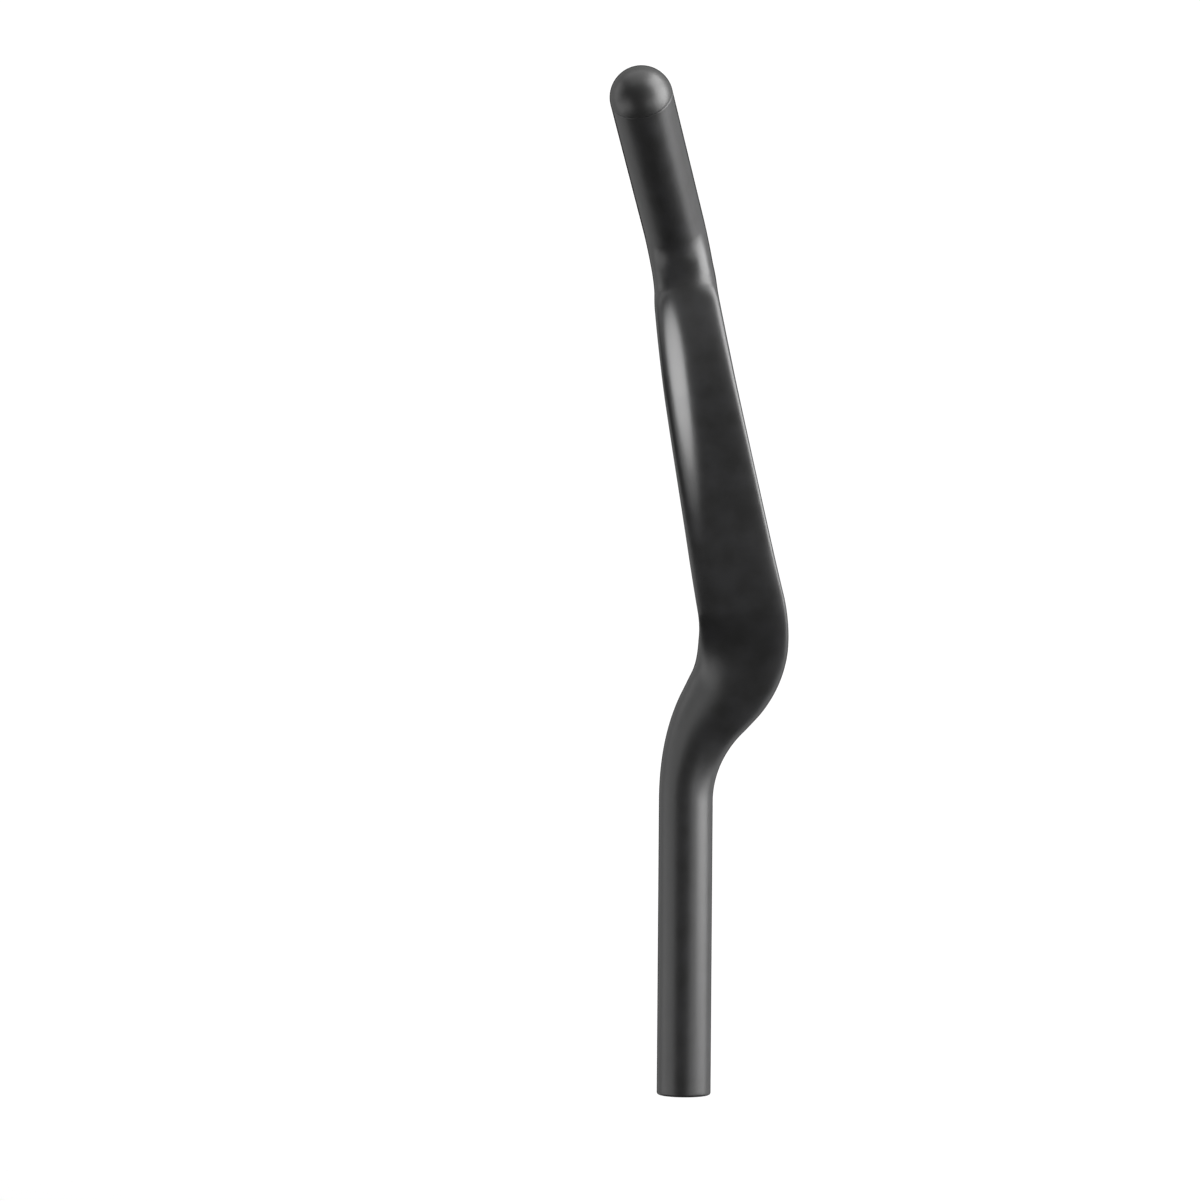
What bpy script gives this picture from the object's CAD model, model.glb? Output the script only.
"""Looks of a right-hand aero handlebar extension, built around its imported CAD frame."""

import logging
import math
from collections.abc import Callable
from dataclasses import dataclass, field

import bmesh
import bpy
from mathutils import Matrix, Vector

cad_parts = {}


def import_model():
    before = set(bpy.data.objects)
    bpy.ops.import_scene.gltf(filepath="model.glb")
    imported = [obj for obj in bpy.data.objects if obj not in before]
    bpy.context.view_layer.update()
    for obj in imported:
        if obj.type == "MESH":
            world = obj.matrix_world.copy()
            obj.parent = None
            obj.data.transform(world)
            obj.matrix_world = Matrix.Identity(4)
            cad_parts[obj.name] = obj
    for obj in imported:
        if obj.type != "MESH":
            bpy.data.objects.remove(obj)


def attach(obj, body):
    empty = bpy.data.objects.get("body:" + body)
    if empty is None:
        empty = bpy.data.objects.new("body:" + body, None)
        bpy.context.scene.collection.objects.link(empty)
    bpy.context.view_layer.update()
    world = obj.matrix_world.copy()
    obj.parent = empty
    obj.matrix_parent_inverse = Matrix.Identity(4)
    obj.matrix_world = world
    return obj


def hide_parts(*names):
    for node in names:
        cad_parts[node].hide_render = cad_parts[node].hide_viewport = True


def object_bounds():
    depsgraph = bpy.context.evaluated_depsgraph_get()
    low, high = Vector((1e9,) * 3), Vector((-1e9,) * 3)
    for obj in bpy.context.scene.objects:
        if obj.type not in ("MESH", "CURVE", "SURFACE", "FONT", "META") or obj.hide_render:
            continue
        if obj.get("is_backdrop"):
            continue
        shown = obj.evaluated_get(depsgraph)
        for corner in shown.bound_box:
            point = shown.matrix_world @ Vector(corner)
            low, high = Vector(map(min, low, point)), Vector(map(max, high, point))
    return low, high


LOG = logging.getLogger("extension")
MM = 0.001
SEAM = 1e-6
# Edges that turn by more than this many degrees stay sharp.
SHARP_EDGE = 40.0
# The level at which the Principled shader reflects as its index says.
PLAIN_REFLECTION = 0.5
BODY = "root"
Point = tuple[float, float]
Colour = tuple[float, float, float, float]


def linear(hex_colour: str) -> Colour:
    """Turn an sRGB hex colour to linear light.

    Args:
        hex_colour: Six hex digits after a hash sign.

    Returns:
        Linear red, green and blue, with an alpha of 1.
    """
    shares = [int(hex_colour[k:k + 2], 16) / 255 for k in (1, 3, 5)]
    red, green, blue = [c / 12.92 if c <= 0.04045 else ((c + 0.055) / 1.055) ** 2.4 for c in shares]
    return (red, green, blue, 1.0)


def ease(start: float, end: float, s: float) -> float:
    """Smooth step from 0 at start to 1 at end."""
    t = min(max((s - start) / (end - start), 0.0), 1.0)
    return t * t * (3 - 2 * t)


def arch(q: float, exponent: float) -> float:
    """Height of a unit superellipse at q, from -1 to 1."""
    return (1 - min(abs(q), 1.0) ** exponent) ** (1 / exponent)


def spread(start: float, end: float, count: int) -> list[float]:
    """Distances that divide a stretch into count steps, without its start."""
    return [start + (end - start) * (k + 1) / count for k in range(count)]


def add_node(tree: bpy.types.NodeTree, kind: str, settings: dict | None = None,
             links: dict | None = None) -> bpy.types.Node:
    """Add one shader node.

    Args:
        tree: The node tree that gets it.
        kind: The node's Blender type.
        settings: Property names or input sockets to values.
        links: Input sockets to the output sockets that feed them.

    Returns:
        The new node.
    """
    node = tree.nodes.new(kind)
    for key, value in (settings or {}).items():
        if isinstance(key, str) and hasattr(node, key):
            setattr(node, key, value)
        else:
            node.inputs[key].default_value = value
    for key, source in (links or {}).items():
        tree.links.new(source, node.inputs[key])
    return node


def noise(tree: bpy.types.NodeTree, size_mm: float, detail: float) -> bpy.types.NodeSocket:
    """Add a noise pattern that is fixed to the piece.

    Args:
        tree: The node tree that gets it.
        size_mm: Size of the pattern's largest spots.
        detail: How many finer layers of spots lie in it.

    Returns:
        The pattern's output.
    """
    where = add_node(tree, "ShaderNodeTexCoord").outputs["Object"]
    settings = {"Scale": 1 / (size_mm * MM), "Detail": detail}
    return add_node(tree, "ShaderNodeTexNoise", settings, {"Vector": where}).outputs[0]


def relief(tree: bpy.types.NodeTree, pattern: bpy.types.NodeSocket, height_mm: float,
           under: bpy.types.NodeSocket | None = None) -> bpy.types.NodeSocket:
    """Turn a pattern to a shallow relief in a skin.

    Args:
        tree: The node tree that gets it.
        pattern: The output that gives the relief its form.
        height_mm: Height of the relief.
        under: The relief that it lies on, if there is one.

    Returns:
        The relief's output, for a Normal input.
    """
    links = {"Height": pattern} if under is None else {"Height": pattern, "Normal": under}
    return add_node(tree, "ShaderNodeBump", {"Distance": height_mm * MM}, links).outputs[0]


def dull_edges(tree: bpy.types.NodeTree, surface: bpy.types.Node, start: float, end: float) -> None:
    """Let the reflection die away where a rough skin turns from the eye, so that outlines stay dark.

    Args:
        tree: The material's node tree.
        surface: Its Principled node.
        start: How far the skin has turned from the eye where the fading starts, from 0 to 1.
        end: How far it has turned where nothing is left of the reflection.
    """
    turned = add_node(tree, "ShaderNodeLayerWeight").outputs["Facing"]
    fading = {"From Min": start, "From Max": end, "To Min": PLAIN_REFLECTION, "To Max": 0.0}
    level = add_node(tree, "ShaderNodeMapRange", fading, {"Value": turned})
    tree.links.new(level.outputs[0], surface.inputs["Specular IOR Level"])


def new_piece(name: str, bm: bmesh.types.BMesh, material: bpy.types.Material) -> bpy.types.Object:
    """Make an object of a finished bmesh, smooth apart from its sharp edges.

    Args:
        name: The piece's name.
        bm: Its mesh in metres, in the row frame. It is freed here.
        material: Its only material.

    Returns:
        The linked object, at the origin.
    """
    mesh = bpy.data.meshes.new(name)
    bm.to_mesh(mesh)
    bm.free()
    mesh.shade_smooth()
    mesh.set_sharp_from_angle(angle=math.radians(SHARP_EDGE))
    mesh.materials.append(material)
    piece = bpy.data.objects.new(name, mesh)
    bpy.context.scene.collection.objects.link(piece)
    return piece


@dataclass(frozen=True)
class Run:
    """One stretch of the centreline in millimetres: a straight, or an arc from way towards side."""

    start: Vector
    way: Vector
    length: float
    side: Vector | None = None
    radius: float = 0.0

    def at(self, along: float) -> tuple[Vector, Vector]:
        """Point and direction at a distance along this stretch.

        Args:
            along: Distance from the stretch's start.

        Returns:
            The point and the unit direction.
        """
        if self.side is None:
            return self.start + self.way * along, self.way
        turn = along / self.radius
        rise = self.side * (1 - math.cos(turn))
        point = self.start + (self.way * math.sin(turn) + rise) * self.radius
        return point, self.way * math.cos(turn) + self.side * math.sin(turn)


class Centreline:
    """Straight runs joined by tangent bends, followed by distance."""

    def __init__(self, start: Vector) -> None:
        """Start with no run.

        Args:
            start: The point that the first run starts from.
        """
        self.runs: list[Run] = []
        self.ends: list[float] = []
        self.tip = start

    def straight(self, way: Vector, length: float) -> float:
        """Add a straight run and return the distance at its end."""
        return self._add(Run(self.tip, way, length))

    def bend(self, way: Vector, onto: Vector, radius: float) -> float:
        """Add a tangent bend.

        Args:
            way: Direction before the bend.
            onto: Direction after it.
            radius: Radius of the bend.

        Returns:
            The distance at its end.
        """
        turn = way.angle(onto)
        side = (onto - way * way.dot(onto)).normalized()
        return self._add(Run(self.tip, way, radius * turn, side, radius))

    def _add(self, run: Run) -> float:
        """Append a run and move the tip to its end.

        Args:
            run: The next stretch.

        Returns:
            The distance at its end.
        """
        self.runs.append(run)
        self.tip = run.at(run.length)[0]
        self.ends.append((self.ends[-1] if self.ends else 0.0) + run.length)
        return self.ends[-1]

    def at(self, s: float) -> tuple[Vector, Vector]:
        """Follow the runs to a distance.

        Args:
            s: Distance from the start.

        Returns:
            The point and the unit direction there.
        """
        for run, end in zip(self.runs, self.ends):
            if s <= end:
                break
        return run.at(s - (end - run.length))


def heading(inward: float, rise: float) -> Vector:
    """Unit vector that turns inboard by one angle and climbs by another."""
    turn, climb = math.radians(inward), math.radians(rise)
    return Vector((-math.sin(turn) * math.cos(climb), math.cos(turn) * math.cos(climb), math.sin(climb)))


@dataclass(frozen=True)
class CarbonSkin:
    """Carbon laminate moulded under pressure, with a satin clear coat.

    The eye sees a near-black surface with soft grey bands, a fine grit in the coat, and reflections whose
    edges waver a little, because the laminate under the coat isn't quite flat.
    """

    colour: str = "#191919"
    pale_colour: str = "#1f1f20"
    pale_start: float = 0.35
    pale_end: float = 0.65
    roughness: float = 0.40
    roughness_spread: float = 0.06
    ior: float = 1.5
    edge_start: float = 0.4
    edge_end: float = 0.82
    cloud_mm: float = 9.0
    cloud_detail: float = 4.0
    wave_mm: float = 13.0
    wave_detail: float = 2.0
    wave_height_mm: float = 0.06
    # The coat's real grit is about 0.1 mm; it is drawn coarser, so that it shows in the render.
    grit_mm: float = 0.45
    grit_detail: float = 2.0
    grit_height_mm: float = 0.004

    def material(self) -> bpy.types.Material:
        """Build the laminate's shader.

        Returns:
            The material.
        """
        material = bpy.data.materials.new("satin_carbon_laminate")
        material.use_nodes = True
        tree = material.node_tree
        surface = tree.nodes["Principled BSDF"]
        surface.inputs["IOR"].default_value = self.ior
        cloud = noise(tree, self.cloud_mm, self.cloud_detail)
        tint = add_node(tree, "ShaderNodeValToRGB", links={0: cloud})
        low, high = tint.color_ramp.elements
        low.position, high.position = self.pale_start, self.pale_end
        low.color, high.color = linear(self.colour), linear(self.pale_colour)
        dullness = {"To Min": self.roughness - self.roughness_spread,
                    "To Max": self.roughness + self.roughness_spread}
        dull = add_node(tree, "ShaderNodeMapRange", dullness, {"Value": cloud})
        wave = relief(tree, noise(tree, self.wave_mm, self.wave_detail), self.wave_height_mm)
        grit = relief(tree, noise(tree, self.grit_mm, self.grit_detail), self.grit_height_mm, wave)
        tree.links.new(tint.outputs[0], surface.inputs["Base Color"])
        tree.links.new(dull.outputs[0], surface.inputs["Roughness"])
        tree.links.new(grit, surface.inputs["Normal"])
        dull_edges(tree, surface, self.edge_start, self.edge_end)
        return material


@dataclass(frozen=True)
class PlugPlastic:
    """Nylon moulded in a spark-eroded tool.

    The eye sees a near-black cap, as satin as the laminate, with a fine even grain.
    """

    colour: str = "#191919"
    roughness: float = 0.42
    ior: float = 1.5
    edge_start: float = 0.4
    edge_end: float = 0.82
    # The tool's real grain is about 0.1 mm; it is drawn coarser, so that it shows in the render.
    grain_mm: float = 0.5
    grain_detail: float = 3.0
    grain_height_mm: float = 0.006

    def material(self) -> bpy.types.Material:
        """Build the plug's shader.

        Returns:
            The material.
        """
        material = bpy.data.materials.new("moulded_nylon")
        material.use_nodes = True
        tree = material.node_tree
        surface = tree.nodes["Principled BSDF"]
        surface.inputs["Base Color"].default_value = linear(self.colour)
        surface.inputs["IOR"].default_value = self.ior
        surface.inputs["Roughness"].default_value = self.roughness
        grain = relief(tree, noise(tree, self.grain_mm, self.grain_detail), self.grain_height_mm)
        tree.links.new(grain, surface.inputs["Normal"])
        dull_edges(tree, surface, self.edge_start, self.edge_end)
        return material


@dataclass
class ExtensionBody:
    """Hollow carbon moulding: clamp tube, S-bend, dished cradle, neck and grip. Millimetres and degrees.

    A place on it is a distance s along the centreline. Across it, q is the share of the half width, from
    -1 at the outboard edge to 1 at the inboard edge.
    """

    # Centreline, from the rear end to the mouth of the grip
    clamp_length: float = 121.1
    step_bend_radius: float = 61.2
    step_out: float = 35.4
    step_rise: float = 15.0
    step_straight: float = 8.5
    heel_bend_radius: float = 48.2
    toe_in: float = 10.55
    cradle_rise: float = 3.4
    cradle_straight: float = 138.9
    grip_bend_radius: float = 25.0
    grip_rise: float = 48.0
    grip_straight: float = 69.0
    # Width and depth
    clamp_diameter: float = 22.2
    heel_width: float = 36.6
    heel_peak_share: float = 0.61
    grip_diameter: float = 25.0
    keel_tuck: float = 10.0
    # Flat top and its rounded rim
    heel_fade: float = 38.0
    neck_fade: float = 11.0
    neck_lead: float = 4.0
    edge_height: float = 3.0
    edge_growth: float = 2.0
    edge_growth_run: float = 90.0
    round_exponent: float = 2.0
    edge_exponent: float = 4.0
    neck_shoulder: float = 0.3
    shoulder_reach: float = 2.0
    # Hump of the floor
    hump: float = 13.0
    hump_lead: float = 38.0
    hump_reach: float = 25.0
    fall_length: float = 48.0
    fall_exponent: float = 1.35
    fall_round_share: float = 0.08
    # Inboard wall of the dish
    rim_land: float = 2.6
    wall_rise: float = 8.0
    wall_reach: float = 7.0
    wall_setback: float = 14.0
    wall_end: float = 8.0
    wall_peak_share: float = 0.68
    wall_end_exponent: float = 1.0
    wall_run_exponent: float = 0.2
    foot_round_share: float = 0.35
    # Hollow and open ends
    wall: float = 2.1
    flank_wall: float = 5.2
    rear_edge_round: float = 1.0
    grip_edge_round: float = 0.35
    # Mesh
    around: int = 128
    edge_segments: int = 5
    rear_margin: float = 2.0
    mouth_margin: float = 1.0
    clamp_rings: int = 16
    step_bend_rings: int = 30
    step_rings: int = 5
    heel_rings: int = 30
    cradle_rings: int = 143
    neck_rings: int = 24
    grip_rings: int = 20
    line: Centreline = field(init=False)

    def __post_init__(self) -> None:
        """Lay out the centreline and the distances at which its stretches end."""
        clamp_way, step_way = heading(0, 0), heading(-self.step_out, self.step_rise)
        cradle_way, grip_way = heading(self.toe_in, self.cradle_rise), heading(self.toe_in, self.grip_rise)
        self.line = Centreline(Vector())
        self.step_start = self.line.straight(clamp_way, self.clamp_length)
        self.step_end = self.line.bend(clamp_way, step_way, self.step_bend_radius)
        self.heel_start = self.line.straight(step_way, self.step_straight)
        self.heel_end = self.line.bend(step_way, cradle_way, self.heel_bend_radius)
        self.neck_start = self.line.straight(cradle_way, self.cradle_straight)
        self.neck_end = self.line.bend(cradle_way, grip_way, self.grip_bend_radius)
        self.grip_mouth = self.line.straight(grip_way, self.grip_straight)
        self.heel_peak = self.heel_start + self.heel_peak_share * (self.heel_end - self.heel_start)
        self.fall_end = self.neck_start - self.neck_lead

    def station(self, s: float) -> Matrix:
        """Stand a frame across the centreline.

        Args:
            s: Distance along the centreline.

        Returns:
            The frame, with x inboard, y up and z forward.
        """
        origin, way = self.line.at(s)
        inboard = Vector((0, 0, 1)).cross(way).normalized()
        up = way.cross(inboard)
        turn = Matrix((inboard, up, way)).transposed().to_4x4()
        return Matrix.Translation(origin) @ turn

    def half_width(self, s: float) -> float:
        """Swell the section through the step, then taper it to the grip.

        Args:
            s: Distance along the centreline.

        Returns:
            Half the width there.
        """
        swell = (self.heel_width - self.clamp_diameter) * ease(self.step_start, self.heel_peak, s)
        along = min(max((s - self.heel_peak) / (self.neck_start - self.heel_peak), 0.0), 1.0)
        return (self.clamp_diameter + swell - (self.heel_width - self.grip_diameter) * along) / 2

    def half_depth(self, s: float) -> float:
        """Half the depth of the plain oval that the flat top is cut from."""
        swell = (self.grip_diameter - self.clamp_diameter) * ease(self.step_start, self.heel_peak, s)
        return (self.clamp_diameter + swell) / 2

    def heel_share(self, s: float) -> float:
        """How far the round step has turned to the flat cradle."""
        return ease(self.heel_end - self.heel_fade, self.heel_end, s)

    def flat_share(self, s: float) -> float:
        """How flat the upper skin is: round before the heel and past the neck, flat between."""
        return self.heel_share(s) * (1 - ease(self.fall_end - self.neck_fade, self.fall_end, s))

    def neck_share(self, s: float) -> float:
        """Let the flat top's square shoulders run out through the neck into the grip.

        Args:
            s: Distance along the centreline.

        Returns:
            How much of them is left there, from 0 to 1.
        """
        if s < self.heel_end:
            return 0.0
        return self.neck_shoulder * (1 - ease(self.neck_start, self.neck_end + self.shoulder_reach, s))

    def cradle_share(self, s: float) -> float:
        """Share of the way from the heel bend to the neck."""
        return min(max((s - self.heel_end) / self.cradle_straight, 0.0), 1.0)

    def wall_share(self, s: float) -> float:
        """Raise the inboard wall along the cradle: it is highest near the neck.

        Args:
            s: Distance along the centreline.

        Returns:
            The share of its full height that stands there.
        """
        start, peak = self.heel_end + self.wall_setback, self.wall_peak_share
        t = min(max((s - start) / (self.neck_start - self.wall_end - start), 0.0), 1.0)
        start_exponent = self.wall_end_exponent * peak / (1 - peak)
        return (t / peak) ** start_exponent * ((1 - t) / (1 - peak)) ** self.wall_end_exponent

    def wall_height(self, s: float, q: float) -> float:
        """Give the inboard wall its form across the section: a slope with a round foot and a round brow.

        Args:
            s: Distance along the centreline.
            q: Share of the half width.

        Returns:
            The wall's height over the floor.
        """
        share = self.wall_share(s)
        if share <= 0:
            return 0.0
        run = (1 - q) * self.half_width(s) - self.rim_land
        run /= self.wall_reach * share**self.wall_run_exponent
        foot = 1 - run + math.hypot(1 - run, self.foot_round_share)
        brow = math.hypot(run, self.foot_round_share) - run
        return self.wall_rise * share * (foot - brow) / 2

    def chord(self, s: float, q: float) -> float:
        """Part of the wall's height that the line between the two widest points takes up."""
        outboard, inboard = self.wall_height(s, -1.0), self.wall_height(s, 1.0)
        return (outboard + inboard + (inboard - outboard) * q) / 2

    def rim_drop(self, s: float) -> float:
        """Height of the flat top's middle over its edges: it rounds off more toward the neck."""
        growth_start = self.neck_start - self.edge_growth_run
        return self.edge_height + self.edge_growth * ease(growth_start, self.neck_start, s)

    def climb(self, s: float) -> float:
        """Raise the floor to a hump that falls to the neck and turns into it softly.

        Args:
            s: Distance along the centreline.

        Returns:
            The hump's height there.
        """
        left = 1 - max(1 - (self.fall_end - s) / self.fall_length, 0.0) ** self.fall_exponent
        rise = ease(self.heel_end - self.hump_lead, self.heel_end + self.hump_reach, s)
        return self.hump * rise * (left + math.hypot(left, self.fall_round_share)) / 2

    def floor_lift(self, s: float) -> float:
        """Height of the upper skin's edges over the centreline."""
        edge = (self.half_depth(s) - self.rim_drop(s)) * self.flat_share(s)
        return edge + self.climb(s) * self.heel_share(s)

    def crown(self, s: float) -> float:
        """Height of the upper skin's middle over its edges."""
        return self.half_depth(s) + (self.rim_drop(s) - self.half_depth(s)) * self.flat_share(s)

    def top(self, s: float, q: float) -> float:
        """Lay the upper skin: floor, rounded rim and inboard wall.

        Args:
            s: Distance along the centreline.
            q: Share of the half width.

        Returns:
            Its height in the station's frame.
        """
        share = max(self.flat_share(s), self.neck_share(s))
        exponent = self.round_exponent + (self.edge_exponent - self.round_exponent) * share
        return self.floor_lift(s) + self.crown(s) * arch(q, exponent) + self.wall_height(s, q)

    def base(self, s: float) -> float:
        """Height of the lowest line of the lower skin."""
        return self.keel_tuck * math.sin(math.pi * self.cradle_share(s)) ** 2 - self.half_depth(s)

    def bottom(self, s: float, q: float) -> float:
        """Height of the lower skin in the station's frame."""
        keel = self.floor_lift(s) + self.chord(s, 0.0) - self.base(s)
        return self.floor_lift(s) + self.chord(s, q) - keel * arch(q, self.round_exponent)

    def turns(self) -> list[float]:
        """Angles of the points around a ring."""
        return [2 * math.pi * k / self.around for k in range(self.around)]

    def outline(self, s: float) -> list[Point]:
        """Draw the outer outline of the section.

        Args:
            s: Distance along the centreline.

        Returns:
            Its points in the station's frame.
        """
        points = []
        for turn in self.turns():
            q = math.cos(turn)
            height = self.top(s, q) if math.sin(turn) >= 0 else self.bottom(s, q)
            points.append((self.half_width(s) * q, height))
        return points

    def cavity(self, s: float) -> list[Point]:
        """Draw the oval outline of the hollow, tilted as the section is.

        Args:
            s: Distance along the centreline.

        Returns:
            Its points in the station's frame.
        """
        waist = self.floor_lift(s) + self.chord(s, 0.0)
        roof = self.floor_lift(s) + self.crown(s) - self.wall
        sole = self.base(s) + self.wall
        middle, deep = (roof + sole) / 2, (roof - sole) / 2
        reach = self.half_width(s) * arch((waist - middle) / (waist - self.base(s)), self.round_exponent)
        side = reach - self.wall - (self.flank_wall - self.wall) * self.flat_share(s)
        tilt = (self.chord(s, 1.0) - self.chord(s, -1.0)) / 2 * side / self.half_width(s)
        return [(side * math.cos(turn), middle + tilt * math.cos(turn) + deep * math.sin(turn))
                for turn in self.turns()]

    def places(self) -> list[float]:
        """Spread the rings that carry the skin: they lie closest in the bends and in the cradle.

        Returns:
            Their distances along the centreline.
        """
        first, last = self.rear_margin, self.grip_mouth - self.mouth_margin
        marks = [0.0, first]
        for start, end, count in ((first, self.step_start, self.clamp_rings),
                                  (self.step_start, self.step_end, self.step_bend_rings),
                                  (self.step_end, self.heel_start, self.step_rings),
                                  (self.heel_start, self.heel_end, self.heel_rings),
                                  (self.heel_end, self.neck_start, self.cradle_rings),
                                  (self.neck_start, self.neck_end, self.neck_rings),
                                  (self.neck_end, last, self.grip_rings)):
            marks += spread(start, end, count)
        return [*marks, self.grip_mouth]

    def tube(self, bm: bmesh.types.BMesh, outline: Callable[[float], list[Point]]) -> None:
        """Roll a grid into one skin, a ring at each place.

        Args:
            bm: The mesh that gets it.
            outline: Gives the outline at a distance, in the station's frame.
        """
        places = self.places()
        steps, row = len(places) - 1, self.around + 1
        grid = bmesh.ops.create_grid(bm, x_segments=self.around, y_segments=steps, size=1.0)["verts"]
        for start, s in enumerate(places):
            frame, points = self.station(s), outline(s)
            for k, vert in enumerate(grid[start * row:(start + 1) * row]):
                vert.co = frame @ Vector((*points[k % self.around], 0)) * MM
        bmesh.ops.remove_doubles(bm, verts=grid, dist=SEAM)

    def open_ends(self, bm: bmesh.types.BMesh) -> list[list[bmesh.types.BMEdge]]:
        """Find the open edges of the skins.

        Args:
            bm: The mesh with one or two skins.

        Returns:
            The edges at the rear end, and those at the grip's mouth.
        """
        rims = [edge for edge in bm.edges if edge.is_boundary]
        rear = [edge for edge in rims if edge.verts[0].co.y < self.clamp_length * MM]
        return [rear, [edge for edge in rims if edge not in rear]]

    def build(self, material: bpy.types.Material) -> bpy.types.Object:
        """Model the moulding: outer skin, hollow, and the two open ends with rounded edges.

        Args:
            material: The laminate.

        Returns:
            The piece.
        """
        bm = bmesh.new()
        self.tube(bm, self.outline)
        edges_to_round = self.open_ends(bm)
        self.tube(bm, self.cavity)
        for edges in self.open_ends(bm):
            bmesh.ops.bridge_loops(bm, edges=edges)
        bmesh.ops.recalc_face_normals(bm, faces=bm.faces)
        for edges, radius in zip(edges_to_round, (self.rear_edge_round, self.grip_edge_round)):
            bmesh.ops.bevel(bm, geom=edges, offset=radius * MM, segments=self.edge_segments, profile=0.5,
                            affect="EDGES", material=-1)
        return new_piece("carbon_moulding", bm, material)


@dataclass
class EndPlug:
    """Domed plug with a hollow ribbed shank, in the mouth of the grip. Millimetres.

    Its half section is drawn as radius and height over the mouth of the grip.
    """

    body: ExtensionBody
    dome_height: float = 12.3
    edge_round: float = 0.35
    shank_length: float = 18.0
    shank_wall: float = 1.8
    rib_count: int = 3
    rib_width: float = 2.2
    rib_height: float = 0.6
    rib_clearance: float = 0.05
    edge_steps: int = 6
    dome_steps: int = 24
    around: int = 128

    def shank(self) -> list[Point]:
        """Draw the hollow shank and its ribs.

        Returns:
            Points of the half section, from the axis to the seat.
        """
        rib_radius = self.body.grip_diameter / 2 - self.body.wall - self.rib_clearance
        shank_radius = rib_radius - self.rib_height
        core_radius = shank_radius - self.shank_wall
        pitch = self.shank_length / (self.rib_count + 1)
        points = [(0.0, 0.0), (core_radius, 0.0), (core_radius, -self.shank_length),
                  (shank_radius, -self.shank_length)]
        for k in range(self.rib_count):
            middle = pitch * (k + 1) - self.shank_length
            points += [(shank_radius, middle - self.rib_width / 2), (rib_radius, middle),
                       (shank_radius, middle + self.rib_width / 2)]
        return [*points, (shank_radius, 0.0)]

    def dome(self) -> list[Point]:
        """Draw the seat's rounded edge and the dome.

        Returns:
            Points of the half section, from the seat to the tip.
        """
        radius = self.body.grip_diameter / 2
        seat = radius - self.edge_round
        points = []
        for k in range(self.edge_steps + 1):
            turn = math.pi / 2 * k / self.edge_steps
            points.append((seat + self.edge_round * math.sin(turn), self.edge_round * (1 - math.cos(turn))))
        cap = self.dome_height - self.edge_round
        cap_radius = (radius**2 + cap**2) / (2 * cap)
        full_turn = math.acos(1 - cap / cap_radius)
        for k in range(1, self.dome_steps + 1):
            turn = full_turn * (1 - k / self.dome_steps)
            height = self.dome_height - cap_radius * (1 - math.cos(turn))
            points.append((cap_radius * math.sin(turn), height))
        return points

    def build(self, material: bpy.types.Material) -> bpy.types.Object:
        """Spin the half section about the grip's axis.

        Args:
            material: The plug's plastic.

        Returns:
            The piece.
        """
        bm = bmesh.new()
        section = self.shank() + self.dome()
        verts = [bm.verts.new((radius * MM, 0, height * MM)) for radius, height in section]
        edges = [bm.edges.new(pair) for pair in zip(verts, verts[1:])]
        bmesh.ops.spin(bm, geom=verts + edges, axis=(0, 0, 1), cent=(0, 0, 0), angle=2 * math.pi,
                       steps=self.around, use_merge=True)
        bmesh.ops.remove_doubles(bm, verts=bm.verts, dist=SEAM)
        bmesh.ops.recalc_face_normals(bm, faces=bm.faces)
        seat = self.body.station(self.body.grip_mouth)
        seat.translation *= MM
        bmesh.ops.transform(bm, matrix=seat, verts=bm.verts)
        return new_piece("domed_end_plug", bm, material)


@dataclass(frozen=True)
class Softbox:
    """A flat soft light that faces the object.

    Its centre and size are in metres in the photograph's axes, and its radiance is in render units.
    """

    name: str
    centre: tuple[float, float, float]
    width: float
    height: float
    radiance: float


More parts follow.
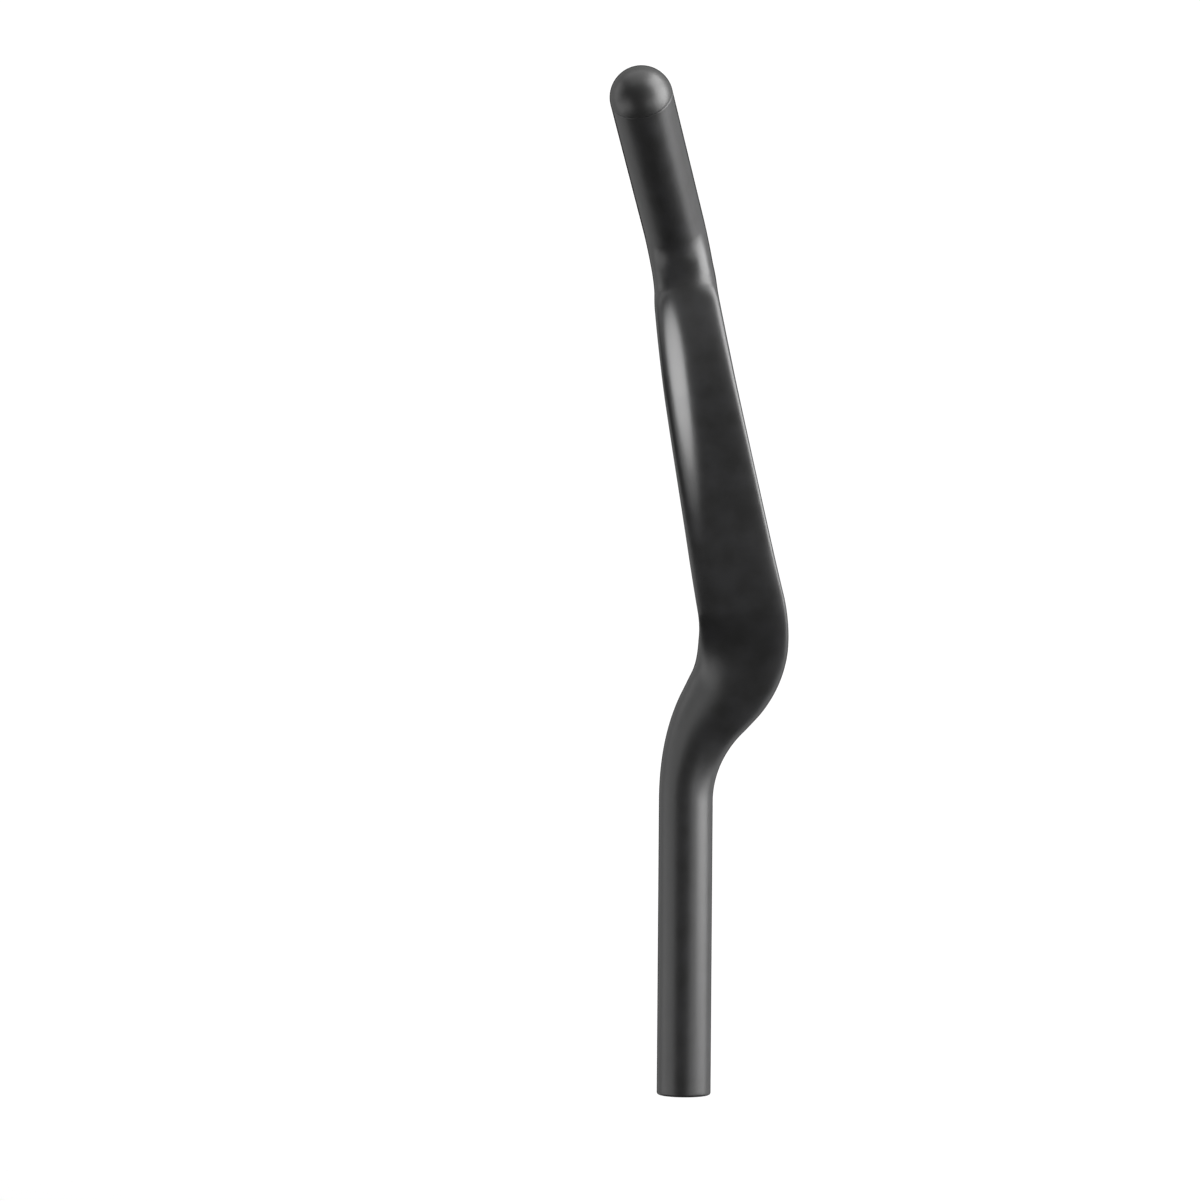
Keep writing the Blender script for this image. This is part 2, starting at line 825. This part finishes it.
@dataclass
class Studio:
    """Pale floor, soft lights and the photograph's camera. Metres, apart from the names that say mm or px."""

    # The photograph looks straight down on an extension that is rolled a little about its clamp tube.
    roll: float = 6.13
    lean: float = 0.43
    image_width_px: float = 1200.0
    image_height_px: float = 1201.0
    rear_end_px: Point = (683.6, 1094.4)
    mm_per_px: float = 0.41218
    camera_height_mm: float = 1640.0
    sensor_mm: float = 36.0
    room_colour: str = "#606060"
    floor_radius: float = 40.0
    floor_sides: int = 96
    floor_colour: str = "#f2f2f2"
    floor_shade: float = 0.12
    # The part is held clear of the floor, so that the tall lights beside it reach its flanks from below.
    floor_drop: float = 0.3
    flag_colour: str = "#050505"
    flag_roughness: float = 1.0
    flag_centre: tuple[float, float, float] = (0.0, -0.3, -0.05)
    flag_size: tuple[float, float] = (1.6, 0.5)
    aim: tuple[float, float, float] = (0.0, 0.25, 0.03)
    boxes: tuple[Softbox, ...] = (
        Softbox("right", (0.95, 0.47, 0.25), 0.84, 1.0, 11.0),
        Softbox("right_rear", (0.95, -0.1, 0.25), 0.3, 1.0, 4.0),
        Softbox("right_high", (0.65, -0.1, 1.05), 0.6, 0.5, 2.6),
        Softbox("front_right", (0.7, 1.2, 0.3), 0.7, 1.1, 9.5),
        Softbox("front", (-0.2, 1.25, 0.3), 1.0, 1.1, 1.7),
        Softbox("left_rear", (-0.95, -0.2, 0.3), 0.8, 1.2, 2.3),
        Softbox("left_front", (-0.95, 0.6, 0.0), 0.8, 0.6, 1.6),
    )

    def tilt(self) -> Matrix:
        """Turn from the photograph's axes to the row's axes."""
        roll, lean = math.radians(self.roll), math.radians(self.lean)
        return Matrix.Rotation(roll, 4, "Y") @ Matrix.Rotation(lean, 4, "Z")

    def camera(self) -> bpy.types.Object:
        """Set the camera where the photograph was taken from.

        Returns:
            The camera object.
        """
        aside = (self.rear_end_px[0] - self.image_width_px / 2) * self.mm_per_px
        below = (self.rear_end_px[1] - self.image_height_px / 2) * self.mm_per_px
        data = bpy.data.cameras.new("camera")
        data.sensor_fit = "HORIZONTAL"
        data.sensor_width = self.sensor_mm
        data.lens = self.sensor_mm * self.camera_height_mm / (self.image_width_px * self.mm_per_px)
        camera = bpy.data.objects.new("camera", data)
        place = Vector((-aside, below, self.camera_height_mm)) * MM
        camera.matrix_world = self.tilt() @ Matrix.Translation(place)
        bpy.context.scene.collection.objects.link(camera)
        bpy.context.scene.camera = camera
        return camera

    def light(self, box: Softbox) -> bpy.types.Object:
        """Set up one softbox, facing the object.

        Args:
            box: Its side, place, size and radiance.

        Returns:
            The light object.
        """
        data = bpy.data.lights.new(box.name, "AREA")
        data.shape = "RECTANGLE"
        data.size, data.size_y = box.width, box.height
        data.energy = box.radiance * math.pi * box.width * box.height
        lamp = bpy.data.objects.new(box.name, data)
        away = Vector(box.centre) - Vector(self.aim)
        turn = away.to_track_quat("Z", "Y").to_matrix().to_4x4()
        lamp.matrix_world = self.tilt() @ Matrix.Translation(box.centre) @ turn
        lamp.visible_camera = False
        bpy.context.scene.collection.objects.link(lamp)
        return lamp

    def floor_finish(self) -> bpy.types.Material:
        """Build a matte paint that the camera and reflections see as nearly white, with a faint shadow.

        Returns:
            The material.
        """
        material = bpy.data.materials.new("pale_studio_floor")
        material.use_nodes = True
        tree = material.node_tree
        tree.nodes.remove(tree.nodes["Principled BSDF"])
        rays = add_node(tree, "ShaderNodeLightPath").outputs
        direct = add_node(tree, "ShaderNodeMath", {"operation": "MAXIMUM"},
                          {0: rays["Is Camera Ray"], 1: rays["Is Glossy Ray"]})
        seen = add_node(tree, "ShaderNodeMath", {"operation": "MAXIMUM"},
                        {0: direct.outputs[0], 1: rays["Is Transmission Ray"]})
        share = add_node(tree, "ShaderNodeMath", {"operation": "MULTIPLY", 1: 1 - self.floor_shade},
                         {0: seen.outputs[0]})
        matte = add_node(tree, "ShaderNodeBsdfDiffuse", {"Color": linear(self.floor_colour)})
        white = add_node(tree, "ShaderNodeEmission", {"Strength": 1.0})
        mixed = add_node(tree, "ShaderNodeMixShader",
                         links={0: share.outputs[0], 1: matte.outputs[0], 2: white.outputs[0]})
        tree.links.new(mixed.outputs[0], tree.nodes["Material Output"].inputs["Surface"])
        return material

    def floor(self, height: float) -> bpy.types.Object:
        """Lay the floor.

        Args:
            height: The floor's height in metres.

        Returns:
            The floor.
        """
        bm = bmesh.new()
        bmesh.ops.create_circle(bm, cap_ends=True, segments=self.floor_sides, radius=self.floor_radius)
        bmesh.ops.translate(bm, vec=(0, 0, height), verts=bm.verts)
        floor = new_piece("floor", bm, self.floor_finish())
        floor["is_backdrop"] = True
        return floor

    def flag(self) -> bpy.types.Object:
        """Stand a black card behind the rear end, so that the grip and the heel reflect a dark room there.

        Returns:
            The card, which the camera doesn't see.
        """
        material = bpy.data.materials.new("black_card")
        material.use_nodes = True
        surface = material.node_tree.nodes["Principled BSDF"]
        surface.inputs["Base Color"].default_value = linear(self.flag_colour)
        surface.inputs["Roughness"].default_value = self.flag_roughness
        bm = bmesh.new()
        bmesh.ops.create_grid(bm, x_segments=1, y_segments=1, size=0.5)
        stand = Matrix.Translation(self.flag_centre) @ Matrix.Rotation(math.radians(90), 4, "X")
        size = Matrix.Diagonal((*self.flag_size, 1.0, 1.0))
        bmesh.ops.transform(bm, matrix=self.tilt() @ stand @ size, verts=bm.verts)
        flag = new_piece("flag", bm, material)
        flag.visible_camera = False
        flag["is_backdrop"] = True
        return flag

    def room(self) -> None:
        """Light the rest of the room with a dim even grey."""
        world = bpy.data.worlds.new("room")
        bpy.context.scene.world = world
        world.use_nodes = True
        world.node_tree.nodes["Background"].inputs["Color"].default_value = linear(self.room_colour)

    def build(self, lowest: float) -> None:
        """Set up the whole studio.

        Args:
            lowest: Height of the object's lowest point in metres.
        """
        bpy.context.scene.view_settings.view_transform = "Standard"
        self.camera()
        self.room()
        self.floor(lowest - self.floor_drop)
        self.flag()
        for box in self.boxes:
            LOG.info("light %s", self.light(box).name)


def main() -> None:
    """Load the frame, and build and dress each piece."""
    logging.basicConfig(level=logging.INFO, format="%(name)s: %(message)s")
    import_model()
    cad_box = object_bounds()
    body = ExtensionBody()
    moulding = body.build(CarbonSkin().material())
    plug = EndPlug(body).build(PlugPlastic().material())
    for piece, node, slot in ((moulding, "extension_body", "carbon_laminate"),
                              (plug, "grip_end_plug", "plug_plastic")):
        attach(piece, BODY)
        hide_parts(node)
        LOG.info("%s stands for %s", piece.name, node)
    Studio().build(cad_box[0].z)


if __name__ == "__main__":
    main()
